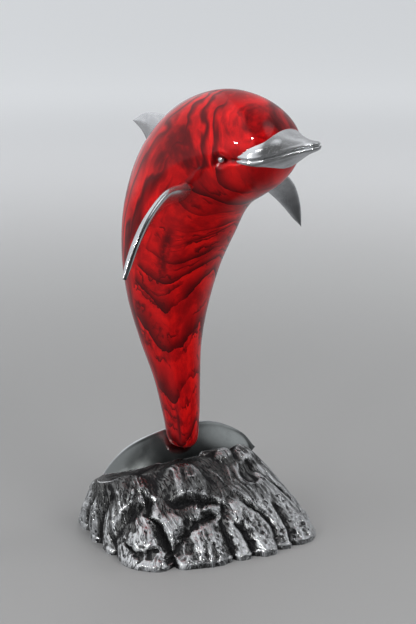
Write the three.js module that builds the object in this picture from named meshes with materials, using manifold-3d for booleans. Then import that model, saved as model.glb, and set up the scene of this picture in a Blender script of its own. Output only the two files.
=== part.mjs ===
// A leaping dolphin in cast aluminium, standing on its flukes on a cast rock.
// Millimetres, +Z up. The origin is on the table under the middle of the rock, and the rock's front faces -Y.
// The dolphin is one casting in two finishes: marbled red enamel on the body, and bare polished metal on the
// beak, the eyes, the fins and the flukes. The rock is a second casting, with a pocket that the flukes stand in.
import * as THREE from "three";
import { mergeVertices } from "three/addons/utils/BufferGeometryUtils.js";
import Module from "manifold-3d";

const wasm = await Module();
wasm.setup();

// The rock's sizes
const ROCK_WIDTH = 209;
const ROCK_DEPTH = 190;
const ROCK_HEIGHT = 68;
const ROCK_LIP = 4;

// The dolphin's sizes
const DOLPHIN_HEIGHT = 346;
const DOLPHIN_TURN = 32;
const FLUKE_SPAN = 168;
const FLUKE_TILT = 52;
const FLUKE_TURN = -4;
const FLUKE_ROLL = 10;
const FIN_THICKNESS = 7;
const MOUTH_GAP = 2;
const EYE_RADIUS = 3;

// How the two castings meet
const SEAT_X = -13;
const SEAT_Y = 7;
const SEAT_RISE = 10;
const SEAT_CLEARANCE = 0.4;
// From the seat to the middle of the flukes' blade
const FLUKE_OFFSET = new THREE.Vector3(-3, 9, 4);

const ENAMEL = new THREE.MeshStandardMaterial({ color: 0xa50d14, roughness: 0.12, metalness: 0 });
const ANTIQUED = new THREE.MeshStandardMaterial({ color: 0x77777a, roughness: 0.4, metalness: 1 });

// Lofts rings of points, each a closed loop of the same count, into one skin that a point closes at each end.
function loft(rings, start, end) {
  const count = rings[0].length;
  const points = [...rings.flat(), start, end];
  const faces = [];
  for (let i = 0; i < count; i++) {
    const j = (i + 1) % count;
    for (let r = 0; r + 1 < rings.length; r++) {
      const low = r * count;
      const high = low + count;
      faces.push(low + i, low + j, high + i, low + j, high + j, high + i);
    }
    const top = (rings.length - 1) * count;
    faces.push(points.length - 2, j, i);
    faces.push(points.length - 1, top + i, top + j);
  }
  const geometry = new THREE.BufferGeometry().setFromPoints(points);
  geometry.setIndex(faces);
  return geometry;
}

function solid(geometry) {
  const bare = new THREE.BufferGeometry();
  bare.setAttribute("position", geometry.getAttribute("position"));
  bare.setIndex(geometry.index);
  const merged = mergeVertices(bare, 1e-4);
  return new wasm.Manifold(
    new wasm.Mesh({
      numProp: 3,
      vertProperties: new Float32Array(merged.getAttribute("position").array),
      triVerts: new Uint32Array(merged.index.array),
    }),
  );
}

// The dolphin's own frame: forward along its bend, to its right, and up, as shares of its height from its tail.
const degrees = THREE.MathUtils.degToRad;
const turn = degrees(DOLPHIN_TURN);
const FORWARD = new THREE.Vector3(Math.sin(turn), -Math.cos(turn), 0);
const RIGHT = new THREE.Vector3(-Math.cos(turn), -Math.sin(turn), 0);
const UP = new THREE.Vector3(0, 0, 1);
const SEAT = new THREE.Vector3(SEAT_X, SEAT_Y, ROCK_HEIGHT + SEAT_RISE);

function place(forward, right, up) {
  return new THREE.Vector3(0, 0, up * DOLPHIN_HEIGHT)
    .addScaledVector(FORWARD, forward * DOLPHIN_HEIGHT)
    .addScaledVector(RIGHT, right * DOLPHIN_HEIGHT)
    .add(SEAT);
}

// Body sections from the tail to the forehead, as shares of the dolphin's height:
// the back's point forward and up, the belly's point forward and up, and the half width.
const BODY = [
  [0.012, 0.0, 0.012, 0.0, 0.0],
  [-0.032, 0.025, 0.044, 0.02, 0.036],
  [-0.048, 0.09, 0.053, 0.09, 0.047],
  [-0.075, 0.2, 0.053, 0.2, 0.062],
  [-0.118, 0.315, 0.054, 0.305, 0.083],
  [-0.152, 0.435, 0.076, 0.425, 0.108],
  [-0.164, 0.565, 0.112, 0.535, 0.129],
  [-0.147, 0.705, 0.154, 0.62, 0.144],
  [-0.082, 0.86, 0.18, 0.672, 0.15],
  [0.025, 0.963, 0.208, 0.706, 0.148],
  [0.145, 1.0, 0.251, 0.734, 0.135],
  [0.252, 0.978, 0.3, 0.768, 0.114],
  [0.312, 0.931, 0.33, 0.813, 0.079],
  [0.336, 0.873, 0.336, 0.873, 0.0],
];
// Beak sections from inside the head to the tip, in the same shares, first along the top and then below.
const BEAK = [
  [0.2, 0.855, 0.2, 0.855, 0.0],
  [0.235, 0.89, 0.235, 0.805, 0.103],
  [0.275, 0.905, 0.275, 0.799, 0.119],
  [0.315, 0.912, 0.315, 0.806, 0.102],
  [0.345, 0.901, 0.345, 0.823, 0.064],
  [0.385, 0.889, 0.385, 0.85, 0.032],
  [0.412, 0.884, 0.412, 0.864, 0.018],
  [0.424, 0.876, 0.424, 0.876, 0.0],
];

// The line of the lips, forward and up.
const MOUTH = [
  [0.25, 0.843],
  [0.29, 0.84],
  [0.33, 0.85],
  [0.37, 0.865],
  [0.4, 0.873],
  [0.44, 0.881],
];
const MOUTH_WIDTH = 0.4;
// Where the eyes are: the share of the body's length, and the angle round its section from the back.
const EYE_PLACE = 0.769;
const EYE_ANGLE = degrees(102.5);

// A smooth run of numbers, read by a share from 0 to 1.
function run(values) {
  const curve = new THREE.SplineCurve(values.map((value, i) => new THREE.Vector2(i, value)));
  return (t) => curve.getPoint(t).y;
}

// The oval section between two edge curves at a share t of their length. It is square to the way they run.
function section({ first, second, thickness, grow = 0, outline = Math.sin }, t) {
  const middle = first.getPoint(t).add(second.getPoint(t)).divideScalar(2);
  const across = first.getPoint(t).sub(middle);
  const along = first.getTangent(t).add(second.getTangent(t));
  const normal = along.cross(across).normalize().multiplyScalar(thickness(t) + grow);
  across.setLength(across.length() + grow);
  return (angle) => middle.clone()
    .addScaledVector(across, Math.cos(angle))
    .addScaledVector(normal, outline(angle));
}

// Lofts such sections into a solid. The two edges meet at each end.
function form(shape, steps, sides) {
  const { first, grow = 0 } = shape;
  const rings = [];
  for (let s = 1; s < steps; s++) {
    const point = section(shape, (1 - Math.cos((Math.PI * s) / steps)) / 2);
    rings.push(Array.from({ length: sides }, (_, i) => point((2 * Math.PI * i) / sides)));
  }
  const start = first.getPoint(0).addScaledVector(first.getTangent(0), -grow);
  const end = first.getPoint(1).addScaledVector(first.getTangent(1), grow);
  return solid(loft(rings, start, end));
}

// A shape that is the same on both sides of the dolphin's middle plane.
function median(table, grow) {
  return {
    first: new THREE.CatmullRomCurve3(table.map(([u, v]) => place(u, 0, v))),
    second: new THREE.CatmullRomCurve3(table.map(([, , u, v]) => place(u, 0, v))),
    thickness: run(table.map((row) => row[4] * DOLPHIN_HEIGHT)),
    grow,
  };
}

// A flipper's spine as shares of the dolphin's height, forward, out and up, and its reach before and behind.
const PECTORAL = [
  [0.09, 0.08, 0.77, 0.0, 0.0],
  [0.11, 0.14, 0.757, 0.03, 0.045],
  [0.108, 0.226, 0.744, 0.054, 0.038],
  [0.109, 0.31, 0.696, 0.054, 0.024],
  [0.117, 0.366, 0.6525, 0.034, 0.02],
  [0.123, 0.403, 0.611, 0.012, 0.014],
  [0.124, 0.42, 0.583, 0.0, 0.0],
];
// The way a flipper's leading edge lies from its spine: forward, out and up.
const PECTORAL_LEAD = [0.617, 0.58, 0.532];
// The left flipper is turned about its spine, and its tip reaches further out and down.
const LEFT_TURN = degrees(22);
const LEFT_TIP = [0.02, -0.016];
// The dorsal fin's leading and trailing edges, each forward and up, from inside the back to the tip.
const DORSAL = [
  [0.06, 0.88, 0.06, 0.88],
  [-0.01, 0.912, -0.1, 0.81],
  [-0.06, 0.923, -0.105, 0.85],
  [-0.11, 0.921, -0.12, 0.875],
  [-0.149, 0.9, -0.149, 0.9],
];

function pectoral(side) {
  const spine = new THREE.CatmullRomCurve3(PECTORAL.map(([u, w, v]) => {
    const tip = side < 0 ? Math.max(0, (w - 0.29) / 0.13) ** 2 : 0;
    return place(u, side * (w + tip * LEFT_TIP[0]), v + tip * LEFT_TIP[1]);
  }));
  const lead = place(PECTORAL_LEAD[0], side * PECTORAL_LEAD[1], PECTORAL_LEAD[2]).sub(SEAT);
  const edge = (k, sign) => new THREE.CatmullRomCurve3(PECTORAL.map(([, , , ...reach], i) => {
    const share = i / (PECTORAL.length - 1);
    const turned = lead.clone().applyAxisAngle(spine.getTangent(share), side < 0 ? LEFT_TURN : 0);
    return spine.getPoint(share).addScaledVector(turned, sign * reach[k]);
  }));
  const thickness = run([1.9, 1.6, 1.25, 1.1, 1.0, 0.85, 0.5].map((share) => (share * FIN_THICKNESS) / 2));
  return { first: edge(0, 1), second: edge(1, -1), thickness, outline: blunt };
}

// A flipper's section is an oval with blunter edges.
function blunt(angle) {
  return Math.sign(Math.sin(angle)) * Math.abs(Math.sin(angle)) ** 0.72;
}

function dorsal() {
  const edge = (k) => new THREE.CatmullRomCurve3(DORSAL.map((row) => place(row[k], 0, row[k + 1])));
  const thickness = run([1.6, 1.4, 1.1, 0.8, 0.3].map((share) => (share * FIN_THICKNESS) / 2));
  return { first: edge(0), second: edge(2), thickness };
}

// Half the flukes, as shares of their half span: sideways, up the tilted blade to each edge, and the arch's drop.
const FLUKE = [
  [0.2, 0.18, -0.28, 0.01],
  [0.55, 0.17, -0.28, 0.08],
  [0.86, 0.05, -0.22, 0.19],
  [0.98, -0.09, -0.09, 0.28],
];

// The flukes are one blade from tip to tip, arched over the rock.
function flukes(grow) {
  const half = FLUKE_SPAN / 2;
  const frame = new THREE.Matrix4().makeRotationFromEuler(
    new THREE.Euler(degrees(FLUKE_TILT), degrees(-FLUKE_ROLL), degrees(FLUKE_TURN), "ZYX"),
  );
  const centre = SEAT.clone().add(FLUKE_OFFSET);
  const rows = [
    ...FLUKE.toReversed().map(([x, ...rest]) => [-x, ...rest]),
    ...FLUKE,
  ];
  const edge = (k) => new THREE.CatmullRomCurve3(rows.map((row) => {
    const point = new THREE.Vector3(row[0], row[k], 0).multiplyScalar(half).applyMatrix4(frame).add(centre);
    point.z -= row[3] * half;
    return point;
  }));
  const thickness = run([0.5, 0.9, 1.2, 1.4, 1.4, 1.2, 0.9, 0.5].map((share) => (share * FIN_THICKNESS) / 2));
  return { first: edge(1), second: edge(2), thickness, grow };
}

// The mouth: a curved slit along both sides of the beak, around a core that joins the jaws.
function mouth() {
  const line = MOUTH.map(([u, v]) => new THREE.Vector2(u * DOLPHIN_HEIGHT, v * DOLPHIN_HEIGHT));
  const outline = [
    ...line.map(({ x, y }) => new THREE.Vector2(x, y - MOUTH_GAP / 2)),
    ...line.toReversed().map(({ x, y }) => new THREE.Vector2(x, y + MOUTH_GAP / 2)),
  ];
  const width = MOUTH_WIDTH * DOLPHIN_HEIGHT;
  const slit = new THREE.ExtrudeGeometry(new THREE.Shape(outline), { depth: width, bevelEnabled: false });
  slit.translate(0, 0, -width / 2);
  slit.applyMatrix4(new THREE.Matrix4().makeBasis(FORWARD, UP, RIGHT).setPosition(SEAT));
  return solid(slit);
}

// An eye: a small domed boss in a shallow dish, on the head's widest line.
function eye(side) {
  const angle = side * EYE_ANGLE;
  const point = section(body, EYE_PLACE);
  const skin = point(angle);
  const outward = skin.clone().sub(point(0).add(point(Math.PI)).divideScalar(2)).normalize();
  const ball = (radius, depth) => {
    const sphere = new THREE.SphereGeometry(radius, 16, 12);
    return solid(sphere.translate(...skin.clone().addScaledVector(outward, depth)));
  };
  return {
    dish: ball(EYE_RADIUS * 3, EYE_RADIUS * 2.3),
    boss: ball(EYE_RADIUS, -EYE_RADIUS * 0.4),
  };
}

const body = median(BODY);
const beak = median(BEAK);
const core = median(BEAK, -MOUTH_GAP);
const eyes = [eye(1), eye(-1)];
let dolphin = form(body, 42, 28);
for (const { dish } of eyes) dolphin = dolphin.subtract(dish);
for (const { boss } of eyes) dolphin = dolphin.add(boss);
dolphin = dolphin.add(form(beak, 17, 20).subtract(mouth())).add(form(core, 17, 20));
for (const fin of [pectoral(1), pectoral(-1), dorsal()]) dolphin = dolphin.add(form(fin, 16, 12));
dolphin = dolphin.add(form(flukes(0), 28, 12));

// The crest's half length to the left and right of the seat, as shares of the flukes' span, and its half depth.
const CREST_LEFT = 0.5;
const CREST_RIGHT = 0.38;
const CREST_DEPTH = 20;
// How much higher the crest is at its right end, and how far both of its ends drop.
const CREST_TILT = 7;
const CREST_DROP = 4;
// How far the crest lies behind the seat, and how far its middle stands above the rock's height.
const CREST_BACK = 4;
const CROWN_RISE = 2;

// The carving's own sizes: a groove's half width and depth, and how far a swelling rises.
const GROOVE_WIDTH = 8;
const GROOVE_DEPTH = 7;
const SWELL_RISE = 5;
// Grooves carved down the rock's sides: half width and depth as shares of those, and points along each, as degrees
// round the rock from +X and the share of the way from its rim to its crest.
const GROOVES = [
  [1.1, 0.85, [-188, 0.72], [-193, 0.3], [-194, 0]],
  [1.1, 0.85, [-155, 0.7], [-170, 0.4], [-177, 0]],
  [1.1, 1.15, [-132, 0.6], [-146, 0.41], [-158, 0.15], [-160, 0]],
  [0.9, 0.85, [-132, 0.15], [-141, 0.08], [-148, 0.16]],
  [0.9, 1.6, [-127, 0.66], [-131, 0.5], [-126, 0.38], [-126, 0]],
  [0.9, 1.3, [-93, 0.38], [-106, 0.33], [-115, 0.23], [-124, 0.1]],
  [0.75, 1, [-112, 0.53], [-96, 0.51], [-88, 0.49]],
  [0.75, 1, [-84, 0.43], [-91, 0.28], [-92, 0]],
  [0.75, 0.85, [-82, 0.22], [-79, 0.1], [-80, 0]],
  [1, 1.15, [-68, 0.4], [-61, 0.28], [-60, 0.14], [-64, 0]],
  [0.9, 0.85, [-50, 0.3], [-55, 0]],
];
const BACK_GROOVES = 8;
// Swellings between the grooves: degrees round, share of the way up, their reach in each, and the share they rise.
const SWELLS = [
  [-138, 0.22, 10, 0.17, 1.2],
  [-140, 0.0, 14, 0.12, 0.8],
  [-104, 0.18, 11, 0.26, 1.2],
  [-119, 0.36, 8, 0.14, 0.8],
  [-75, 0.33, 9, 0.2, 0.8],
  [-71, 0.08, 8, 0.14, 0.8],
  [-44, 0.08, 10, 0.2, 1],
  [-184, 0.3, 9, 0.4, 1],
  [-206, 0.35, 14, 0.5, 1.4],
];

// Bosses and hollows on the shelf in front of the flukes: x, y and radius as shares of the rock's width, and rise.
const BOSSES = [
  [-0.13, -0.144, 0.124, 1.8],
  [0.115, -0.038, 0.062, 1.2],
  [0.225, -0.038, 0.067, 1.2],
  [0.2, -0.144, 0.057, -1],
  [-0.373, -0.086, 0.105, 1.2],
];

// The hidden side has plainer grooves of its own, spaced unevenly between the last and the first of those in front.
const grooves = [...GROOVES];
const [, , lastFront] = GROOVES.at(-1);
const [, , firstFront] = GROOVES[0];
const backStep = (360 + firstFront[0] - lastFront[0]) / (BACK_GROOVES + 1);
for (let i = 1; i <= BACK_GROOVES; i++) {
  const foot = lastFront[0] + backStep * (i + 0.2 * Math.sin(4 * i));
  const lean = 12 * Math.cos(3 * i);
  const share = 0.6 + 0.2 * Math.sin(7 * i);
  grooves.push([1, 1, [foot + lean, share], [foot + 0.3 * lean, share / 2], [foot, 0]]);
}

// A point of the rock's side laid out flat, in millimetres: along the rim and up from it.
function flat(angle, share) {
  const round = (Math.PI * (ROCK_WIDTH + ROCK_DEPTH)) / 2 / 360;
  return new THREE.Vector2(angle * round * (1 - 0.4 * share), share * ROCK_HEIGHT * 1.2);
}

// How far the carving lifts the rock's skin at an angle in degrees, a share of the way from rim to crest.
function carving(angle, share) {
  const near = (middle) => middle + THREE.MathUtils.euclideanModulo(angle - middle + 180, 360) - 180;
  let rise = 0;
  for (const [middle, level, wide, tall, height] of SWELLS) {
    const inside = 1 - ((near(middle) - middle) / wide) ** 2 - ((share - level) / tall) ** 2;
    if (inside > 0) rise += SWELL_RISE * height * inside * inside * (3 - 2 * inside);
  }
  let cut = 0;
  for (const [width, depth, ...points] of grooves) {
    const spot = flat(near(points[0][0]), share);
    for (let i = 0; i + 1 < points.length; i++) {
      const line = new THREE.Line3(
        new THREE.Vector3(...flat(...points[i]), 0),
        new THREE.Vector3(...flat(...points[i + 1]), 0),
      );
      const closest = line.closestPointToPoint(new THREE.Vector3(...spot, 0), true, new THREE.Vector3());
      const inside = 1 - (Math.hypot(closest.x - spot.x, closest.y - spot.y) / (width * GROOVE_WIDTH)) ** 2;
      if (inside > 0) cut = Math.max(cut, GROOVE_DEPTH * depth * inside * inside);
    }
  }
  return rise - cut;
}

function bossRise(x, y) {
  let rise = 0;
  for (const [middleX, middleY, radius, height] of BOSSES) {
    const inside = 1 - ((x / ROCK_WIDTH - middleX) ** 2 + (y / ROCK_WIDTH - middleY) ** 2) / radius ** 2;
    if (inside > 0) rise += SWELL_RISE * height * inside * inside * (3 - 2 * inside);
  }
  return rise;
}

// A point on the rock's skin: 0 is the rim and 1 the crest, a flat oval round the flukes' foot.
function rockPoint(angle, share) {
  const turned = degrees(angle);
  const cos = Math.cos(turned);
  const sin = Math.sin(turned);
  const corner = 3.2;
  const reach = ((Math.abs(cos) / (ROCK_WIDTH / 2)) ** corner
    + (Math.abs(sin) / (ROCK_DEPTH / 2)) ** corner) ** (-1 / corner);
  const crestLength = FLUKE_SPAN * (cos < 0 ? CREST_LEFT : CREST_RIGHT);
  const crest = new THREE.Vector2(SEAT_X + cos * crestLength, SEAT_Y + CREST_BACK + sin * CREST_DEPTH);
  const x = THREE.MathUtils.lerp(reach * cos, crest.x, share);
  const y = THREE.MathUtils.lerp(reach * sin, crest.y, share);
  const slope = 1 - (1 - share) ** 1.4;
  const off = (x - SEAT_X) / (FLUKE_SPAN / 2);
  const crestHeight = ROCK_HEIGHT + CREST_TILT * off - CREST_DROP * off * off;
  const lift = carving(angle, share);
  const outward = (1 - share) * 0.85;
  const z = ROCK_LIP + (crestHeight - ROCK_LIP) * slope;
  return new THREE.Vector3(
    x + cos * lift * outward,
    y + sin * lift * outward,
    z + lift * share + bossRise(x, y),
  );
}

function rock(around, up) {
  const rings = [];
  const front = -118;
  const angles = Array.from({ length: around }, (_, i) => {
    const part = i / around - 0.5;
    return front + 360 * (part - 0.06 * Math.sin(2 * Math.PI * part));
  });
  rings.push(angles.map((angle) => rockPoint(angle, 0).setZ(0)));
  for (let s = 0; s <= up; s++) rings.push(angles.map((angle) => rockPoint(angle, s / up)));
  const top = new THREE.Vector3(SEAT_X, SEAT_Y + CREST_BACK, ROCK_HEIGHT + CROWN_RISE);
  for (const share of [0.3, 0.6]) rings.push(rings.at(-1).map((point) => point.clone().lerp(top, share)));
  return solid(loft(rings, new THREE.Vector3(SEAT_X, SEAT_Y, 0), top));
}

const pocket = form(flukes(SEAT_CLEARANCE), 28, 12).add(form(median(BODY, SEAT_CLEARANCE), 42, 28));
const base = rock(88, 16).subtract(pocket);

function geometryOf(manifold) {
  const mesh = manifold.getMesh();
  const geometry = new THREE.BufferGeometry();
  geometry.setAttribute("position", new THREE.BufferAttribute(new Float32Array(mesh.vertProperties), 3));
  geometry.setIndex(new THREE.BufferAttribute(mesh.triVerts, 1));
  return geometry;
}

const statue = new THREE.Group();
for (const [name, manifold, material] of [
  ["dolphin", dolphin, ENAMEL],
  ["rock_base", base, ANTIQUED],
]) {
  const mesh = new THREE.Mesh(geometryOf(manifold), material);
  mesh.name = name;
  statue.add(mesh);
}

export default statue;
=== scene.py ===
# A leaping dolphin in cast aluminium on a cast rock: marbled red enamel on the body, bare polished metal on the
# beak, the eyes, the fins and the flukes, and a dark patina in the rock's carving.
# Lengths in millimetres until a mesh is made, in the part's frame: +Z up, the rock's front faces -Y.
import math

import bpy
import numpy as np
from mathutils import Matrix, Vector


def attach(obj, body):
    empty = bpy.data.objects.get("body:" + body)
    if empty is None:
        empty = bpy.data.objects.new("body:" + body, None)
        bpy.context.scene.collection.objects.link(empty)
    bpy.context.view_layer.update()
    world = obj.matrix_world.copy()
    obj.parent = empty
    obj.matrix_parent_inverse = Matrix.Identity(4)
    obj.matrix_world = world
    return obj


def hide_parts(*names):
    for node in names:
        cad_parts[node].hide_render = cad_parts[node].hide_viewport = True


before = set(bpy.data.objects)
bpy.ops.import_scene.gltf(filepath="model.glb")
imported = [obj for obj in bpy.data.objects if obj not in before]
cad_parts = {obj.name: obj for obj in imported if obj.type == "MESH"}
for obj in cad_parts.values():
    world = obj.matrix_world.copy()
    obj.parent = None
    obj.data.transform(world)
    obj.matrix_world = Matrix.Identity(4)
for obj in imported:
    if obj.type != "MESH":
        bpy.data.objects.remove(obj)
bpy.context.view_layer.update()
FINE = 1.0

# ---------------------------------------------------------------- camera

scene = bpy.context.scene
CAMERA_AZIMUTH = math.radians(25)
CAMERA_PITCH = math.radians(15)
CAMERA_PLACE = (-0.5362, -1.1768, 0.560)
LENS, SENSOR_HEIGHT = 82.5, 36
lens = bpy.data.cameras.new("camera")
lens.sensor_fit = "VERTICAL"
lens.sensor_height = SENSOR_HEIGHT
lens.lens = LENS
lens.clip_start = 0.05
camera = bpy.data.objects.new("camera", lens)
camera.location = CAMERA_PLACE
camera.rotation_euler = (math.pi / 2 - CAMERA_PITCH, 0, -CAMERA_AZIMUTH)
scene.collection.objects.link(camera)
scene.camera = camera

# ---------------------------------------------------------------- the dolphin's sizes and tables

ROCK_WIDTH, ROCK_DEPTH, ROCK_HEIGHT, ROCK_LIP = 209, 190, 68, 4
DOLPHIN_HEIGHT = 346
DOLPHIN_TURN = math.radians(32)
FLUKE_SPAN = 168
FLUKE_TILT, FLUKE_TURN, FLUKE_ROLL = math.radians(52), math.radians(-4), math.radians(10)
FIN_THICKNESS = 7
EYE_RADIUS = 3
SEAT = np.array([-13.0, 7.0, ROCK_HEIGHT + 10.0])
FLUKE_OFFSET = np.array([-3.0, 9.0, 4.0])
SEAT_CLEARANCE = 0.4

FORWARD = np.array([math.sin(DOLPHIN_TURN), -math.cos(DOLPHIN_TURN), 0])
RIGHT = np.array([-math.cos(DOLPHIN_TURN), -math.sin(DOLPHIN_TURN), 0])
UP = np.array([0, 0, 1.0])

# Body sections from the tail to the forehead, as shares of the dolphin's height:
# the back's point forward and up, the belly's point forward and up, and the half width.
BODY = [
    [0.012, 0.0, 0.012, 0.0, 0.0],
    [-0.032, 0.025, 0.044, 0.02, 0.036],
    [-0.048, 0.09, 0.053, 0.09, 0.047],
    [-0.075, 0.2, 0.053, 0.2, 0.062],
    [-0.118, 0.315, 0.054, 0.305, 0.083],
    [-0.152, 0.435, 0.076, 0.425, 0.108],
    [-0.164, 0.565, 0.112, 0.535, 0.129],
    [-0.147, 0.705, 0.154, 0.62, 0.144],
    [-0.082, 0.86, 0.18, 0.672, 0.15],
    [0.025, 0.963, 0.208, 0.706, 0.148],
    [0.145, 1.0, 0.251, 0.734, 0.135],
    [0.252, 0.978, 0.3, 0.768, 0.114],
    [0.312, 0.931, 0.33, 0.813, 0.079],
    [0.336, 0.873, 0.336, 0.873, 0.0],
]
BEAK = [
    [0.2, 0.855, 0.2, 0.855, 0.0],
    [0.235, 0.89, 0.235, 0.805, 0.103],
    [0.275, 0.905, 0.275, 0.799, 0.119],
    [0.315, 0.912, 0.315, 0.806, 0.102],
    [0.345, 0.901, 0.345, 0.823, 0.064],
    [0.385, 0.889, 0.385, 0.85, 0.032],
    [0.412, 0.884, 0.412, 0.864, 0.018],
    [0.424, 0.876, 0.424, 0.876, 0.0],
]
MOUTH = [[0.25, 0.843], [0.29, 0.84], [0.33, 0.85], [0.37, 0.865], [0.4, 0.873], [0.44, 0.881]]
EYE_PLACE, EYE_ANGLE = 0.769, math.radians(102.5)
# A flipper's spine as shares of the dolphin's height, forward, out and up, and its reach before and behind.
PECTORAL = [
    [0.09, 0.08, 0.77, 0.0, 0.0],
    [0.11, 0.14, 0.757, 0.03, 0.045],
    [0.108, 0.226, 0.744, 0.054, 0.038],
    [0.109, 0.31, 0.696, 0.054, 0.024],
    [0.117, 0.366, 0.6525, 0.034, 0.02],
    [0.123, 0.403, 0.611, 0.012, 0.014],
    [0.124, 0.42, 0.583, 0.0, 0.0],
]
PECTORAL_LEAD = [0.617, 0.58, 0.532]
# The left flipper is turned about its spine, and its tip reaches further out and down.
LEFT_TURN, LEFT_TIP = math.radians(22), [0.02, -0.016]
DORSAL = [
    [0.06, 0.88, 0.06, 0.88],
    [-0.01, 0.912, -0.1, 0.81],
    [-0.06, 0.923, -0.105, 0.85],
    [-0.11, 0.921, -0.12, 0.875],
    [-0.149, 0.9, -0.149, 0.9],
]
# Half the flukes, as shares of their half span: sideways, up the tilted blade to each edge, and the arch's drop.
FLUKE = [
    [0.2, 0.18, -0.28, 0.01],
    [0.55, 0.17, -0.28, 0.08],
    [0.86, 0.05, -0.22, 0.19],
    [0.98, -0.09, -0.09, 0.28],
]
# Rings along each form and sides round it.
BODY_MESH, BEAK_MESH, FLIPPER_MESH = (280, 176), (120, 160), (90, 72)
DORSAL_MESH, FLUKE_MESH, BALL_MESH = (70, 56), (130, 72), (16, 24)
FLUKE_POCKET_MESH, TAIL_POCKET_MESH, ROCK_MESH = (60, 40), (60, 48), (160, 540)


def place(forward, right, up):
    return SEAT + DOLPHIN_HEIGHT * (forward * FORWARD + right * RIGHT + up * UP)


def shares_of(points):
    """Forward, right and up of points, as shares of the dolphin's height."""
    away = (points - SEAT) / DOLPHIN_HEIGHT
    return away @ FORWARD, away @ RIGHT, away @ UP


# ---------------------------------------------------------------- curves and skins


def fine(counts):
    return [int(count * FINE) for count in counts]


def knots_at(knots, share):
    """The four knots round each share from 0 to 1, and how far it is from the second to the third."""
    count = len(knots) - 2
    spot = (count - 1) * np.clip(share, 0, 1)
    i = np.minimum(spot.astype(int), count - 2)
    return [knots[i + k] for k in range(4)], spot - i


def cubic(b, c, leave, reach, w):
    """A cubic from b to c, with the slopes that it leaves and reaches them at."""
    return b + leave * w + (3 * (c - b) - 2 * leave - reach) * w**2 + (2 * (b - c) + leave + reach) * w**3


def curve(points):
    """A smooth curve through the points, read by shares from 0 to 1."""
    knots = np.asarray(points, float)
    knots = np.vstack([2 * knots[0] - knots[1], knots, 2 * knots[-1] - knots[-2]])

    def at(share):
        (a, b, c, d), w = knots_at(knots, share)
        gaps = [(((q - p) ** 2).sum(1) ** 0.25)[:, None] for p, q in ((a, b), (b, c), (c, d))]
        middle = np.where(gaps[1] < 1e-4, 1, gaps[1])
        before = np.where(gaps[0] < 1e-4, middle, gaps[0])
        after = np.where(gaps[2] < 1e-4, middle, gaps[2])
        leave = ((b - a) / before - (c - a) / (before + middle) + (c - b) / middle) * middle
        reach = ((c - b) / middle - (d - b) / (middle + after) + (d - c) / after) * middle
        return cubic(b, c, leave, reach, w[:, None])

    return at


def run(values):
    """A smooth run of numbers, read by shares from 0 to 1."""
    knots = np.asarray([values[0], *values, values[-1]], float)

    def at(share):
        (a, b, c, d), w = knots_at(knots, share)
        return cubic(b, c, (c - a) / 2, (d - b) / 2, w)

    return at


def tangent(at, share):
    step = 1e-4
    way = at(np.clip(share + step, 0, 1)) - at(np.clip(share - step, 0, 1))
    return way / np.linalg.norm(way, axis=1)[:, None]


def edges(table):
    """A body table's two edge curves and its half width."""
    first = curve([place(row[0], 0, row[1]) for row in table])
    second = curve([place(row[2], 0, row[3]) for row in table])
    return first, second, run([row[4] * DOLPHIN_HEIGHT for row in table])


def tips(table):
    """The points that a body table starts and ends in."""
    return [place(row[0], 0, row[1]) for row in (table[0], table[-1])]


def rings_of(first, second, thickness, share, angle, grow=0.0, profile=None):
    """Oval rings between two edge curves, square to the way they run."""
    middle = (first(share) + second(share)) / 2
    across = first(share) - middle
    normal = np.cross(tangent(first, share) + tangent(second, share), across)
    normal *= ((thickness(share) + grow) / np.linalg.norm(normal, axis=1))[:, None]
    length = np.linalg.norm(across, axis=1)[:, None]
    across = across * (length + grow) / length
    cos, sin = np.cos(angle)[None, :, None], np.sin(angle)[None, :, None]
    if profile is not None:
        sin = sin * profile(np.cos(angle))[None, :, None]
    return middle[:, None] + across[:, None] * cos + normal[:, None] * sin


def smooth(low, high, value):
    t = np.clip((value - low) / (high - low), 0, 1)
    return t * t * (3 - 2 * t)


def hill(value, middle, width):
    """A smooth hill, 1 high at its middle."""
    return np.exp(-(((value - middle) / width) ** 2))


def to_line(points, a, b):
    """How far points are from the line from a to b, and how far along it they lie, from 0 to 1."""
    along = np.clip(((points - a) @ (b - a)) / ((b - a) @ (b - a)), 0, 1)
    return np.linalg.norm(points - (a + along[..., None] * (b - a)), axis=-1), along


def normals_of(grid, mean_over=1):
    """Normals of a grid of rings that close round, away from the mean of each ring or of the whole grid."""
    around = np.roll(grid, -1, 1) - np.roll(grid, 1, 1)
    normal = np.cross(around, np.gradient(grid, axis=0))
    normal = normal / np.maximum(np.linalg.norm(normal, axis=2)[..., None], 1e-9)
    inward = ((grid - grid.mean(axis=mean_over, keepdims=True)) * normal).sum() < 0
    return -normal if inward else normal


def spaced(count, crowded=0.85):
    """Shares from 0 to 1 without the ends, crowded near them."""
    s = np.arange(1, count) / count
    return s - crowded * np.sin(2 * math.pi * s) / (2 * math.pi)


def circle(sides):
    return np.arange(sides) * 2 * math.pi / sides


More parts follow.
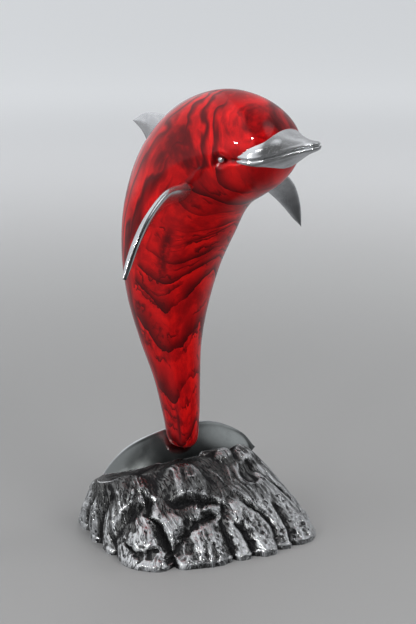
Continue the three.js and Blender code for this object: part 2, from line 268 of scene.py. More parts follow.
def skin(name, grid, start, end, materials, index=0, fields=None):
    """A closed mesh object of rings and a point at each end, in metres. Fields are numbers kept at its points."""
    rows, count = grid.shape[:2]
    points = np.vstack([grid.reshape(-1, 3), start, end]) / 1000
    i = np.arange(count)
    j = (i + 1) % count
    base = (np.arange(rows - 1) * count)[:, None]
    quads = np.stack([base + i, base + j, base + count + j, base + count + i], 2).reshape(-1, 4)
    top = (rows - 1) * count
    foot_fan = np.stack([np.full(count, len(points) - 2), j, i], 1)
    top_fan = np.stack([np.full(count, len(points) - 1), top + i, top + j], 1)
    fans = np.vstack([foot_fan, top_fan])
    mesh = bpy.data.meshes.new(name)
    mesh.vertices.add(len(points))
    mesh.vertices.foreach_set("co", points.ravel())
    mesh.loops.add(quads.size + fans.size)
    mesh.loops.foreach_set("vertex_index", np.concatenate([quads.ravel(), fans.ravel()]).astype(np.int32))
    mesh.polygons.add(len(quads) + len(fans))
    starts = np.concatenate([np.arange(len(quads)) * 4, quads.size + np.arange(len(fans)) * 3])
    mesh.polygons.foreach_set("loop_start", starts.astype(np.int32))
    for material in materials:
        mesh.materials.append(material)
    mesh.polygons.foreach_set("material_index", np.full(len(mesh.polygons), index, np.int32))
    for field, values in (fields or {}).items():
        kind, key = ("FLOAT_VECTOR", "vector") if values.ndim == 3 else ("FLOAT", "value")
        flat = values.reshape(rows * count, -1)
        flat = np.vstack([flat, flat[:count].mean(0), flat[-count:].mean(0)])
        mesh.attributes.new(field, kind, "POINT").data.foreach_set(key, flat.ravel())
    mesh.update(calc_edges=True)
    mesh.validate()
    item = bpy.data.objects.new(name, mesh)
    scene.collection.objects.link(item)
    return item


def merge(target, tool, operation="UNION"):
    """Joins or cuts one closed mesh with another, and drops the tool."""
    modifier = target.modifiers.new("join", "BOOLEAN")
    modifier.operation = operation
    modifier.object = tool
    modifier.solver = "MANIFOLD"
    bpy.context.view_layer.update()
    result = bpy.data.meshes.new_from_object(target.evaluated_get(bpy.context.evaluated_depsgraph_get()))
    target.modifiers.clear()
    spent = [target.data, tool.data]
    target.data = result
    bpy.data.objects.remove(tool)
    for mesh in spent:
        bpy.data.meshes.remove(mesh)


# ---------------------------------------------------------------- node help


class Nodes:
    """A short way to write a node tree."""

    def __init__(self, tree):
        self.tree = tree
        tree.nodes.clear()

    def add(self, kind, inputs=None, out=0, **settings):
        node = self.tree.nodes.new(kind)
        for key, value in settings.items():
            setattr(node, key, value)
        for key, value in (inputs or {}).items():
            if isinstance(value, bpy.types.NodeSocket):
                self.tree.links.new(value, node.inputs[key])
            else:
                node.inputs[key].default_value = value
        return node.outputs[out] if len(node.outputs) else None

    def math(self, operation, a, b=0.0, c=0.0):
        return self.add("ShaderNodeMath", {0: a, 1: b, 2: c}, operation=operation)

    def times(self, a, b):
        return self.math("MULTIPLY", a, b)

    def most(self, first, *others):
        for other in others:
            first = self.math("MAXIMUM", first, other)
        return first

    def gap(self, value, middle):
        """How far a value is from a number."""
        return self.math("ABSOLUTE", self.math("SUBTRACT", value, middle))

    def vary(self, value, noise, swing, middle=0.5):
        """A value that a noise moves by a swing in all, and not at all where the noise is at its middle."""
        return self.math("MULTIPLY_ADD", noise, swing, self.math("SUBTRACT", value, swing * middle))

    def cell(self, value):
        """A fixed random number for each whole number that a value passes."""
        return self.add("ShaderNodeTexWhiteNoise", {"W": self.math("FLOOR", value)}, noise_dimensions="1D")

    def range(self, value, low, high, to_low=0.0, to_high=1.0, kind="SMOOTHSTEP"):
        inputs = {0: value, 1: low, 2: high, 3: to_low, 4: to_high}
        return self.add("ShaderNodeMapRange", inputs, interpolation_type=kind)

    def mix(self, factor, a, b, kind="RGBA"):
        if kind == "RGBA":
            return self.add("ShaderNodeMix", {0: factor, 6: a, 7: b}, out=2, data_type="RGBA")
        return self.add("ShaderNodeMix", {0: factor, 2: a, 3: b}, data_type="FLOAT")

    def ramp(self, value, stops):
        node = self.tree.nodes.new("ShaderNodeValToRGB")
        self.tree.links.new(value, node.inputs[0])
        while len(node.color_ramp.elements) < len(stops):
            node.color_ramp.elements.new(0.5)
        for element, (position, color) in zip(node.color_ramp.elements, stops):
            element.position = position
            element.color = color
        return node.outputs[0]

    def noise(self, vector, scale, detail=3.0, rough=0.5, distortion=0.0, out=0):
        inputs = {"Vector": vector, "Scale": scale, "Detail": detail}
        inputs |= {"Roughness": rough, "Distortion": distortion}
        return self.add("ShaderNodeTexNoise", inputs, out=out)

    def stretch(self, vector, scale, shift=(0, 0, 0)):
        return self.add("ShaderNodeMapping", {"Vector": vector, "Scale": scale, "Location": shift})

    def vector_math(self, operation, inputs, out=0):
        return self.add("ShaderNodeVectorMath", inputs, out=out, operation=operation)

    def split(self, vector):
        return self.add("ShaderNodeSeparateXYZ", {0: vector}).node.outputs

    def field(self, name, out="Fac"):
        return self.add("ShaderNodeAttribute", out=out, attribute_name=name)

    def bump(self, height, strength, distance, under=None, invert=False):
        inputs = {"Strength": strength, "Distance": distance, "Height": height}
        if under is not None:
            inputs["Normal"] = under
        return self.add("ShaderNodeBump", inputs, invert=invert)

    def surface(self, inputs):
        shader = self.add("ShaderNodeBsdfPrincipled", inputs)
        self.add("ShaderNodeOutputMaterial", {"Surface": shader})


def material(name):
    made = bpy.data.materials.new(name)
    made.use_nodes = True
    return made, Nodes(made.node_tree)


def rgb(r, g, b):
    return (r, g, b, 1)


# ---------------------------------------------------------------- materials


def belly_drips(n, flow, patch):
    """Overlapping drips on the belly: each is bright above and darkens to a sharp edge below."""
    drip = n.field("drip")
    level = n.vary(drip, n.noise(flow, 14, 2, 0.5), 1.2)
    level = n.vary(level, n.noise(flow, 70, 3, 0.55), 0.30)
    lip = n.math("FRACT", level)
    deep = n.range(n.math("MULTIPLY_ADD", n.cell(level), 0.3, patch), 0.42, 0.74)
    fade = n.math("DIVIDE", lip, n.range(deep, 0, 1, 0.25, 1.0, "LINEAR"))
    fade = n.math("POWER", n.range(fade, 0.0, 1.0, 1.0, 0.0, "LINEAR"), 1.6)
    shade = n.times(fade, n.range(deep, 0, 1, 0.35, 0.9, "LINEAR"))
    edge = n.times(n.range(lip, 0.0, 0.14, 0.75, 0.0, "LINEAR"), n.range(patch, 0.38, 0.62, 0.15, 1.0))
    # A thinner coat of smaller drips lies over them.
    small = n.noise(n.stretch(flow, (1, 1, 1), (0.4, 0.8, 0.3)), 48, 3, 0.6)
    over = n.math("FRACT", n.math("MULTIPLY_ADD", small, 2.4, n.times(drip, 1.7)))
    over = n.times(n.range(over, 0.0, 0.5, 0.8, 0.0, "LINEAR"), n.range(n.noise(flow, 30, 3, 0.6), 0.40, 0.58))
    # Some drips are combed into three finer lines.
    comb = n.range(n.math("FRACT", n.times(level, 3.0)), 0.0, 0.3, 0.5, 0)
    comb = n.times(comb, n.range(n.noise(flow, 19, 2, 0.5), 0.52, 0.66))
    return n.most(shade, edge, comb, over)


def back_folds(n, flow):
    """Long folds on the back and flanks, drawn out along the body, each dark on one side."""
    lean = n.vary(n.times(n.field("across"), 0.75), n.noise(n.stretch(flow, (1, 1, 0.30)), 26, 3, 0.55), 5.4)
    finer = n.noise(n.stretch(flow, (1, 1, 0.4), (0.3, 0.1, 0.6)), 60, 2, 0.5)
    lean = n.math("MULTIPLY_ADD", finer, 0.7, lean)
    fold = n.math("FRACT", lean)
    thick = n.noise(n.stretch(flow, (1, 1, 0.4), (0.2, 0.9, 0.1)), 30, 3, 0.55)
    heavy = n.range(n.math("MULTIPLY_ADD", n.cell(lean), 0.3, thick), 0.42, 0.80)
    soft = n.times(n.range(fold, 0.0, 0.32), n.range(fold, 0.25, 1.0, 1.0, 0.0))
    streak = n.times(soft, n.range(heavy, 0, 1, 0.10, 0.85, "LINEAR"))
    vein = n.times(n.range(n.gap(fold, 0.26), 0.0, 0.16, 0.7, 0.0), n.range(thick, 0.50, 0.66))
    shadow = n.noise(n.stretch(flow, (1, 1, 0.35), (0.5, 0.4, 0.2)), 34, 4, 0.6)
    return n.most(streak, vein, n.range(shadow, 0.43, 0.68, 0.05, 0.8))


def stirred_face(n, flow, belly, patch, clouds):
    """The clear, bright cheek and forehead, with two rings stirred into them."""
    ring = n.vary(n.field("swirl"), n.noise(flow, 50, 3, 0.55), 1.0)
    inner = n.times(n.range(n.gap(ring, 0.42), 0.0, 0.20, 0.6, 0.0), n.range(patch, 0.36, 0.6, 0.35, 1))
    outer = n.times(n.range(n.gap(ring, 0.98), 0.0, 0.2, 0.65, 0.0), n.range(patch, 0.35, 0.6, 0.2, 1))
    dark = n.most(inner, outer, n.range(clouds, 0.36, 0.64, 0.18, 0.9))
    return n.times(dark, n.range(belly, 0, 1, 1.0, 0.45))


def enamel_material():
    """Red enamel under a clear coat. How dark it is, from 0 to 1, follows the fields at the mesh's points."""
    made, n = material("marbled_enamel")
    flow, belly = n.field("flow", "Vector"), n.field("belly")
    patch = n.noise(n.stretch(flow, (1, 1, 0.8), (0.7, 0.2, 0.4)), 22, 3, 0.55)
    clouds = n.noise(flow, 25, 4, 0.55, 0.6)
    side = n.vary(belly, n.noise(flow, 24, 3, 0.55), 0.7)
    dark = n.mix(n.range(side, 0.38, 0.62), back_folds(n, flow), belly_drips(n, flow, patch), "FLOAT")
    dark = n.mix(n.field("face"), dark, stirred_face(n, flow, belly, patch, clouds), "FLOAT")
    # Painted shade in the eyes' creases and dishes and on the crown, together with the two dark runs on the
    # belly's side, darkens the red.
    painted_shade_and_dark_runs = n.times(n.field("painted_shade_and_dark_runs"), n.range(n.noise(flow, 130, 3, 0.6), 0.3, 0.55, 0.45, 1.0))
    mist = n.range(n.noise(flow, 42, 5, 0.6), 0.32, 0.74, 0.0, 0.48)
    dark = n.math("MULTIPLY_ADD", n.noise(flow, 800, 2, 0.5), 0.08, n.most(dark, painted_shade_and_dark_runs, mist))
    reds = [
        (0.0, rgb(0.82, 0.010, 0.008)),
        (0.25, rgb(0.54, 0.004, 0.006)),
        (0.5, rgb(0.32, 0.002, 0.004)),
        (0.75, rgb(0.16, 0.001, 0.003)),
        (1.0, rgb(0.045, 0.001, 0.002)),
    ]
    bump = n.bump(n.noise(flow, 28, 2, 0.4), 0.10, 0.0012)
    n.surface(
        {
            "Base Color": n.ramp(dark, reds),
            "Roughness": n.range(clouds, 0.2, 0.8, 0.34, 0.44),
            "Metallic": 0.3,
            "Specular IOR Level": 0.1,
            "Coat Weight": 1.0,
            "Coat Roughness": 0.03,
            "Coat IOR": 1.4,
            "Normal": bump,
            "Coat Normal": bump,
        }
    )
    return made


def polished_material():
    """Bare polished metal. Low on the casting the flukes are painted duller and darker, a painted shade for the
    dark surroundings they mirror, but for their rim, which keeps the bright metal.
    """
    made, n = material("polished_aluminium")
    spot = n.add("ShaderNodeTexCoord", out="Object")
    tall = n.split(spot)[2]
    cloud = n.noise(spot, 60, 4, 0.55)
    haze = n.noise(n.stretch(spot, (1, 1, 0.2)), 700, 3, 0.6)
    color = n.mix(n.range(cloud, 0.35, 0.7), rgb(0.78, 0.79, 0.80), rgb(0.62, 0.63, 0.64))
    # Painted shade: low on the casting the metal takes the dark colour, except along the flukes' rim.
    bright = n.most(n.range(tall, 0.13, 0.17), n.times(n.field("rim"), 0.9))
    n.surface(
        {
            "Base Color": n.mix(bright, rgb(0.22, 0.232, 0.228), color),
            "Metallic": n.range(tall, 0.30, 0.38, 1.0, 0.88),
            "Roughness": n.math("MULTIPLY_ADD", haze, 0.08, n.range(cloud, 0.3, 0.75, 0.12, 0.22)),
            "Normal": n.bump(n.noise(spot, 45, 2, 0.4), 0.10, 0.002, n.bump(haze, 0.02, 0.0005)),
        }
    )
    return made


def rock_material():
    """Cast metal with a dark patina in the hollows, in scratches and in engraved lines."""
    made, n = material("antiqued_aluminium")
    spot = n.add("ShaderNodeTexCoord", out="Object")
    hollow_and_shade, carve = n.field("hollow_and_shade"), n.field("carve", "Vector")
    blotch, fleck = n.noise(spot, 38, 4, 0.6), n.noise(spot, 420, 3, 0.65)
    # Scratches and lines run down the slope and wrap round its lumps and hollows.
    bend = n.vector_math("SCALE", {0: n.noise(spot, 32, 2, 0.5, out=1), "Scale": 0.016})
    sweep = n.vector_math("ADD", {0: n.stretch(carve, (1, 0.25, 1)), 1: bend})
    scratch = n.noise(n.stretch(sweep, (1, 0.5, 1)), 640, 4, 0.7)
    stroke = n.noise(n.stretch(sweep, (1, 0.7, 1), (0.3, 0.1, 0)), 140, 3, 0.55)
    count = n.math("MULTIPLY_ADD", hollow_and_shade, 1.2, n.times(stroke, 8.0))
    line = n.range(n.gap(n.math("FRACT", count), 0.5), 0.03, 0.20, 1.0, 0.0)
    line = n.times(line, n.range(n.noise(spot, 90, 2, 0.5), 0.38, 0.6, 0.25, 1.0))
    dark = n.vary(n.vary(hollow_and_shade, blotch, 0.9), line, 1.0, 0.24)
    dark = n.vary(n.vary(dark, scratch, 1.1), fleck, 0.35)
    # The patina and the worn metal below also follow the painted shade on the rock's left and the painted
    # highlight on its right.
    patina = n.range(dark, 0.40, 0.64)
    worn = n.range(n.math("MULTIPLY_ADD", blotch, 0.5, hollow_and_shade), 0.30, 0.78)
    worn = n.mix(worn, rgb(0.80, 0.81, 0.81), rgb(0.20, 0.20, 0.195))
    rough = n.range(patina, 0, 1, 0.18, 0.42, "LINEAR")
    pits = n.bump(fleck, 0.25, 0.001, n.bump(scratch, 0.4, 0.0012))
    n.surface(
        {
            "Base Color": n.mix(patina, worn, rgb(0.014, 0.014, 0.015)),
            "Metallic": n.range(patina, 0.3, 1, 1.0, 0.4),
            "Roughness": n.math("MULTIPLY_ADD", scratch, 0.14, rough),
            "Normal": n.bump(line, 0.8, 0.0012, pits, invert=True),
        }
    )
    return made


FINISHES = [enamel_material(), polished_material()]
ENAMEL, POLISHED = 0, 1
ROCK = rock_material()

# ---------------------------------------------------------------- the body

# The drips' lower edges up the belly, each as: its height up the body in millimetres, how far its two arms rise,
# the angle of its tip from the back in degrees, and how steep its arm on the flank is.
DRIPS = [
    [-30, 10, 120, 1.0],
    [6, 20, 118, 1.0],
    [30, 14, 135, 1.3],
    [52, 24, 112, 0.8],
    [96, 36, 118, 1.2],
    [150, 30, 122, 1.0],
    [172, 26, 112, 1.2],
    [196, 20, 128, 0.9],
    [214, 36, 116, 1.3],
    [236, 22, 124, 0.8],
    [262, 30, 130, 1.2],
    [290, 24, 118, 1.0],
    [322, 34, 126, 1.1],
    [352, 24, 120, 1.0],
    [386, 30, 124, 1.0],
    [430, 24, 120, 1.0],
    [470, 24, 120, 1.0],
]
# How steep all arms are, and the height of one drip above the last line.
DRIP_ARMS, DRIP_TOP = 1.3, 30
# Round each eye is a dish with a raised rim, and a crease runs from it to the mouth's corner.
# The crease's points are shares of the dolphin's height: forward, out and up.
DISH_DEPTH, DISH_FLOOR, DISH_RADIUS = 3.0, 1.5, 8.0
RIM_RISE, RIM_WIDTH = 0.6, 1.8
CREASE_DEPTH, CREASE_WIDTH = 3.2, 2.6
CREASE = [
    [0.211, 0.136, 0.842],
    [0.222, 0.129, 0.838],
    [0.236, 0.125, 0.8375],
    [0.252, 0.12, 0.84],
    [0.275, 0.112, 0.843],
]
# The enamel's pattern lies on a drum round the body up to DRUM_END, and in plain space round the head from
# HEAD_START, both measured up the body. FOLD_WIDTH is how far apart the folds of the back and the head are.
DRUM_RADIUS, DRUM_END, HEAD_START = 50, 250, 380
HEAD_SHIFT = np.array([0.02, 0.06, -0.05])
BACK_RADIUS, FOLD_WIDTH, FOREHEAD = 58, 15, 55
RING_PLACE, RING_RADIUS = (0.266, 0.072, 0.949), 24
CROWN_PLACE, CROWN_RADIUS = (0.185, 0.03, 0.99), 24


def drip_level(height, turned):
    """A number that grows up the body and passes a whole number at each drip's lower edge."""
    lines = []
    for low, rise, tip, steep in DRIPS:
        away = np.abs(turned) - tip
        arm = np.where(away > 0, away / (180 - tip), -away / tip * 1.6 * steep)
        lines.append(low + rise * (np.sqrt(arm**2 + 0.01) - 0.1) * DRIP_ARMS)
    lines = np.sort(np.stack(lines), axis=0)
    level = np.full(height.shape, -1.0)
    for k in range(len(lines) - 1):
        low, high = lines[k], lines[k + 1]
        inside = (height >= low) & (height < high)
        level = np.where(inside, k + (height - low) / np.maximum(high - low, 1e-3), level)
    return np.where(height >= lines[-1], len(lines) - 1 + (height - lines[-1]) / DRIP_TOP, level) + 2


def groove(points, line, width):
    """How deep a groove along a line of points is at each point of a grid, from 0 to 1. It fades at its ends."""
    best = np.full(points.shape[:-1], 1e9)
    fade = np.ones(points.shape[:-1])
    for k in range(len(line) - 1):
        away, along = to_line(points, line[k], line[k + 1])
        nearer = away < best
        best = np.where(nearer, away, best)
        along = (k + along) / (len(line) - 1)
        fade = np.where(nearer, np.sin(math.pi * np.clip(along * 0.92 + 0.06, 0, 1)) ** 0.5, fade)
    return hill(best, 0, width) * fade


def eye_places():
    """Each eye's point on the skin and the way out of the body there."""
    first, second, thickness = edges(BODY)
    share = np.array([EYE_PLACE])
    middle = ((first(share) + second(share)) / 2)[0]
    places = []
    for side in (1, -1):
        spot = rings_of(first, second, thickness, share, np.array([side * EYE_ANGLE]))[0, 0]
        places.append((spot, (spot - middle) / np.linalg.norm(spot - middle)))
    return places


def enamel_fields(grid, turned, tall, painted_shade_and_dark_runs):
    """What the enamel's pattern follows, at each point, from its degrees round the body and height up it."""
    turn = np.radians(turned)
    drum = np.stack([DRUM_RADIUS * np.cos(turn), DRUM_RADIUS * np.sin(turn), tall], axis=2) / 1000
    onto = smooth(DRUM_END, HEAD_START, tall)
    flow = drum * (1 - onto[..., None]) + ((grid - SEAT) / 1000 + HEAD_SHIFT) * onto[..., None]
    forward, _, up = shares_of(grid)
    turned = np.abs(turned)
    back_across = turned * math.pi / 180 * BACK_RADIUS / FOLD_WIDTH
    head_across = (forward * DOLPHIN_HEIGHT + FOREHEAD) / FOLD_WIDTH
    # Two dark runs down the side of the belly, one below the flipper and one at the tail, and painted shade on
    # the crown.
    dark_run = hill(turned, 112, 7) * smooth(160, 185, tall) * (1 - smooth(222, 250, tall))
    dark_run += hill(turned, 114, 8) * (1 - smooth(38, 62, tall))
    crown = hill(np.linalg.norm(grid - place(*CROWN_PLACE), axis=2), 0, CROWN_RADIUS)
    return {
        "flow": flow,
        "across": back_across * (1 - onto) + head_across * onto + 3,
        "drip": drip_level(tall, turned),
        "belly": smooth(88, 122, turned + 38 * (1 - smooth(140, 250, tall))),
        "face": smooth(0.19, 0.25, forward + 0.10 * (up - 0.9)) * smooth(0.70, 0.80, up),
        "swirl": np.linalg.norm(grid - place(*RING_PLACE), axis=2) / RING_RADIUS,
        "painted_shade_and_dark_runs": np.maximum(np.maximum(painted_shade_and_dark_runs, 0.75 * dark_run), 0.6 * crown),
    }


def make_body():
    first, second, thickness = edges(BODY)
    rings, sides = fine(BODY_MESH)
    share, angle = spaced(rings), circle(sides)
    grid = rings_of(first, second, thickness, share, angle)
    spine = (first(share) + second(share)) / 2
    height = np.concatenate([[0], np.cumsum(np.linalg.norm(np.diff(spine, axis=0), axis=1))])
    turned = np.degrees((angle + math.pi) % (2 * math.pi) - math.pi)
    turned, tall = np.broadcast_arrays(turned[None, :], height[:, None])
    sink, painted_shade_and_dark_runs = np.zeros(grid.shape[:2]), np.zeros(grid.shape[:2])
    points = grid.reshape(-1, 3)
    for (spot, _), side in zip(EYES, (1, -1)):
        away = np.linalg.norm(grid - spot, axis=2)
        dish = DISH_DEPTH * (1 - smooth(DISH_FLOOR, DISH_RADIUS, away))
        crease = [place(forward, side * out, up) for forward, out, up in CREASE]
        crease = [points[np.linalg.norm(points - point, axis=1).argmin()] for point in crease]
        cut = groove(grid, crease, CREASE_WIDTH)
        sink += dish - RIM_RISE * hill(away, DISH_RADIUS, RIM_WIDTH) + CREASE_DEPTH * cut
        # Painted shade darkens the crease and the eye's dish.
        painted_shade_and_dark_runs = np.maximum(painted_shade_and_dark_runs, np.maximum(cut, 0.75 * (1 - smooth(2, DISH_RADIUS, away))))
    grid = grid - normals_of(grid) * sink[..., None]
    return skin("dolphin_casting", grid, *tips(BODY), FINISHES, ENAMEL, enamel_fields(grid, turned, tall, painted_shade_and_dark_runs))


EYES = eye_places()
dolphin = make_body()

# ---------------------------------------------------------------- the bare metal

SEAM_DEPTH, SEAM_WIDTH = 2.2, 1.0
# The lips' rises, their distances above the mouth's line, and their widths.
LIPS = [[0.7, 2.6, 1.6], [0.5, -2.8, 1.6]]
EYE_SINK, EYE_FLATNESS = 2.8, 0.8
VENT_PLACE, VENT_RADIUS = (0.039, 0.031, 0.036), 1.5


def make_beak():
    first, second, thickness = edges(BEAK)
    rings, sides = fine(BEAK_MESH)
    grid = rings_of(first, second, thickness, spaced(rings, 0.5), circle(sides))
    forward, _, up = shares_of(grid)
    mouth = curve([[u, 0.0, v] for u, v in MOUTH])(np.linspace(0, 1, 60))
    above = (up - np.interp(forward, mouth[:, 0], mouth[:, 2])) * DOLPHIN_HEIGHT
    lips = sum(rise * hill(above, middle, width) for rise, middle, width in LIPS)
    grid = grid + normals_of(grid) * (lips - SEAM_DEPTH * hill(above, 0, SEAM_WIDTH))[..., None]
    return skin("beak", grid, *tips(BEAK), FINISHES, POLISHED)


def ball(name, centre, radius, index, flatness=1.0, way=UP):
    """A small closed ball, flattened along a way."""
    rings, sides = BALL_MESH
    share, angle = spaced(rings, 1), circle(sides)
    lift = np.cos(math.pi * (1 - share))
    side = np.sqrt(1 - lift**2)
    other = np.cross(way, [0.3, 0.5, 0.81])
    other /= np.linalg.norm(other)
    third = np.cross(way, other)
    around = np.cos(angle)[None, :, None] * other + np.sin(angle)[None, :, None] * third
    grid = centre + radius * flatness * lift[:, None, None] * way + radius * side[:, None, None] * around
    pole = way * radius * flatness
    return skin(name, grid, centre - pole, centre + pole, FINISHES, index)


def dished(depth, rim):
    """Thins a fin's middle and leaves a rounded rim."""
    return lambda across: 1 - depth * (1 - smooth(rim, 1.0, np.abs(across)))


def blunt(across):
    """Turns an oval section into one with blunter edges."""
    return np.maximum(1 - across**2, 1e-6) ** -0.14


def thick(*shares):
    """A fin's half thickness along it, from shares of the fins' thickness."""
    return run([share * FIN_THICKNESS / 2 for share in shares])


def fin(name, first, second, thickness, mesh, profile=None, grow=0.0, crowded=0.9):
    """A closed form between two edge curves, grown where it is to cut a pocket with a clearance."""
    rings, sides = mesh
    share, angle = spaced(rings, crowded), circle(sides)
    grid = rings_of(first, second, thickness, share, angle, grow, profile)
    ends = np.array([0.0, 1.0])
    start, end = first(ends) + tangent(first, ends) * np.array([[-grow], [grow]])
    rim = np.tile(smooth(0.86, 0.98, np.abs(np.cos(angle))), (len(share), 1))
    return skin(name, grid, start, end, FINISHES, POLISHED, {"rim": rim})


def pectoral_edges(side):
    points = []
    for forward, out, up, *_ in PECTORAL:
        tip = max(0, (out - 0.29) / 0.13) ** 2 if side < 0 else 0
        points.append(place(forward, side * (out + tip * LEFT_TIP[0]), up + tip * LEFT_TIP[1]))
    spine = curve(points)
    lead = Vector(place(PECTORAL_LEAD[0], side * PECTORAL_LEAD[1], PECTORAL_LEAD[2]) - SEAT)
    share = np.arange(len(PECTORAL)) / (len(PECTORAL) - 1)
    turn = LEFT_TURN if side < 0 else 0
    ways = [np.array(Matrix.Rotation(turn, 3, Vector(axis)) @ lead) for axis in tangent(spine, share)]
    middle = spine(share)
    before = curve([middle[i] + ways[i] * row[3] for i, row in enumerate(PECTORAL)])
    behind = curve([middle[i] - ways[i] * row[4] for i, row in enumerate(PECTORAL)])
    return before, behind


def fluke_edges():
    half = FLUKE_SPAN / 2
    turn = Matrix.Rotation(FLUKE_TURN, 3, "Z") @ Matrix.Rotation(-FLUKE_ROLL, 3, "Y")
    turn = turn @ Matrix.Rotation(FLUKE_TILT, 3, "X")
    rows = [[-row[0], *row[1:]] for row in reversed(FLUKE)] + FLUKE
    made = []
    for k in (1, 2):
        points = []
        for row in rows:
            point = np.array(turn @ Vector((row[0], row[k], 0))) * half + SEAT + FLUKE_OFFSET
            points.append(point - np.array([0, 0, row[3] * half]))
        made.append(curve(points))
    return made


def dorsal_edges():
    return [curve([place(row[k], 0, row[k + 1]) for row in DORSAL]) for k in (0, 2)]


FLIPPER_THICK = thick(1.9, 1.6, 1.25, 1.1, 1.0, 0.85, 0.5)
DORSAL_THICK = thick(1.6, 1.4, 1.1, 0.8, 0.3)
FLUKE_THICK = thick(0.5, 0.9, 1.2, 1.4, 1.4, 1.2, 0.9, 0.5)
merge(dolphin, make_beak())
for side in (1, -1):
    merge(dolphin, fin("flipper", *pectoral_edges(side), FLIPPER_THICK, fine(FLIPPER_MESH), blunt))
merge(dolphin, fin("dorsal", *dorsal_edges(), DORSAL_THICK, fine(DORSAL_MESH), dished(0.15, 0.6)))
merge(dolphin, fin("flukes", *fluke_edges(), FLUKE_THICK, fine(FLUKE_MESH), dished(0.35, 0.78)))
for spot, way in EYES:
    merge(dolphin, ball("eye", spot - way * EYE_SINK, EYE_RADIUS, POLISHED, EYE_FLATNESS, way))
merge(dolphin, ball("vent", place(*VENT_PLACE), VENT_RADIUS, ENAMEL), "DIFFERENCE")

# ---------------------------------------------------------------- the rock

# Grooves carved down the rock's sides: half width, depth, and points along each, as degrees round the rock
# from +X and the share of the way from its rim to its crest.
GROOVES = [
    [1.1, 0.85, [-188, 0.72], [-193, 0.3], [-194, 0]],
    [1.1, 0.85, [-155, 0.7], [-170, 0.4], [-177, 0]],
    [1.1, 1.15, [-132, 0.6], [-146, 0.41], [-158, 0.15], [-160, 0]],
    [0.9, 0.85, [-132, 0.15], [-141, 0.08], [-148, 0.16]],
    [0.9, 1.6, [-127, 0.66], [-131, 0.5], [-126, 0.38], [-126, 0]],
    [0.9, 1.3, [-93, 0.38], [-106, 0.33], [-115, 0.23], [-124, 0.1]],
    [0.75, 1, [-112, 0.53], [-96, 0.51], [-88, 0.49]],
    [0.75, 1, [-84, 0.43], [-91, 0.28], [-92, 0]],
    [0.75, 0.85, [-82, 0.22], [-79, 0.1], [-80, 0]],
    [1, 1.15, [-68, 0.4], [-61, 0.28], [-60, 0.14], [-64, 0]],
    [0.9, 0.85, [-50, 0.3], [-55, 0]],
]
BACK_GROOVES, GROOVE_DEPTH, GROOVE_WIDTH, SWELL_RISE = 8, 7, 8, 5
# Swellings between the grooves: degrees round, share of the way up, their reach in each, and their rise.
SWELLS = [
    [-138, 0.22, 10, 0.17, 1.2],
    [-140, 0.0, 14, 0.12, 0.8],
    [-104, 0.18, 11, 0.26, 1.2],
    [-119, 0.36, 8, 0.14, 0.8],
    [-75, 0.33, 9, 0.2, 0.8],
    [-71, 0.08, 8, 0.14, 0.8],
    [-44, 0.08, 10, 0.2, 1],
    [-184, 0.3, 9, 0.4, 1],
    [-206, 0.35, 14, 0.5, 1.4],
]
BOSSES = [
    [-0.13, -0.144, 0.124, 1.8],
    [0.115, -0.038, 0.062, 1.2],
    [0.225, -0.038, 0.067, 1.2],
    [0.2, -0.144, 0.057, -1],
    [-0.373, -0.086, 0.105, 1.2],
]
# The foot is a rounded rectangle. The crest is an oval behind the seat, arched, and higher on the right.
CORNER = 3.2
CREST_BACK, CREST_DEPTH, CREST_LEFT, CREST_RIGHT = 4, 20, 0.5, 0.38
CREST_RISE, CREST_ARCH, SLOPE_POWER = 7, 4, 1.4
SIDE_SWELL = 0.85
INNER_RINGS = (0.15, 0.3, 0.5, 0.75)
FOLD_HEIGHT, FINE_FOLD_HEIGHT, LUMP_HEIGHT, PIT_DEPTH = 1.7, 0.7, 0.35, 1.5
# The rounds of blurring that show fine and wide hollows, and the depths that count as deep.
CLOSE_ROUNDS, CLOSE_DEPTH, WIDE_ROUNDS, WIDE_DEPTH = 28, 1.8, 120, 12.0


def back_grooves():
    """Simple grooves spaced over the rock's back, between the last and the first of the front."""
    made = []
    last_front, first_front = GROOVES[-1][2][0], GROOVES[0][2][0]
    back_step = (360 + first_front - last_front) / (BACK_GROOVES + 1)
    for i in range(1, BACK_GROOVES + 1):
        foot = last_front + back_step * (i + 0.2 * math.sin(4 * i))
        lean, level = 12 * math.cos(3 * i), 0.6 + 0.2 * math.sin(7 * i)
        made.append([1, 1, [foot + lean, level], [foot + 0.3 * lean, level / 2], [foot, 0]])
    return made


def flat(degrees, share):
    """A point of the rock's side laid out flat: along the rim and up from it."""
    around = math.pi * (ROCK_WIDTH + ROCK_DEPTH) / 2 / 360
    return np.stack(np.broadcast_arrays(degrees * around * (1 - 0.4 * share), share * ROCK_HEIGHT * 1.2), axis=-1)


def near(degrees, middle):
    return middle + (degrees - middle + 180) % 360 - 180


def dome(inside):
    """A rounded rise, from 0 at its edge to 1 at its middle."""
    inside = np.maximum(inside, 0)
    return inside * inside * (3 - 2 * inside)


def carving(degrees, share):
    rise = np.zeros(np.broadcast(degrees, share).shape)
    for middle, level, wide, tall, height in SWELLS:
        inside = 1 - ((near(degrees, middle) - middle) / wide) ** 2 - ((share - level) / tall) ** 2
        rise += SWELL_RISE * height * dome(inside)
    cut = np.zeros(rise.shape)
    for width, depth, *points in GROOVES + back_grooves():
        spot = flat(near(degrees, points[0][0]), share)
        line = [flat(*point) for point in points]
        away = np.min([to_line(spot, a, b)[0] for a, b in zip(line, line[1:])], axis=0)
        cut = np.maximum(cut, GROOVE_DEPTH * depth * np.maximum(1 - away / (width * GROOVE_WIDTH), 0) ** 1.9)
    return rise - cut


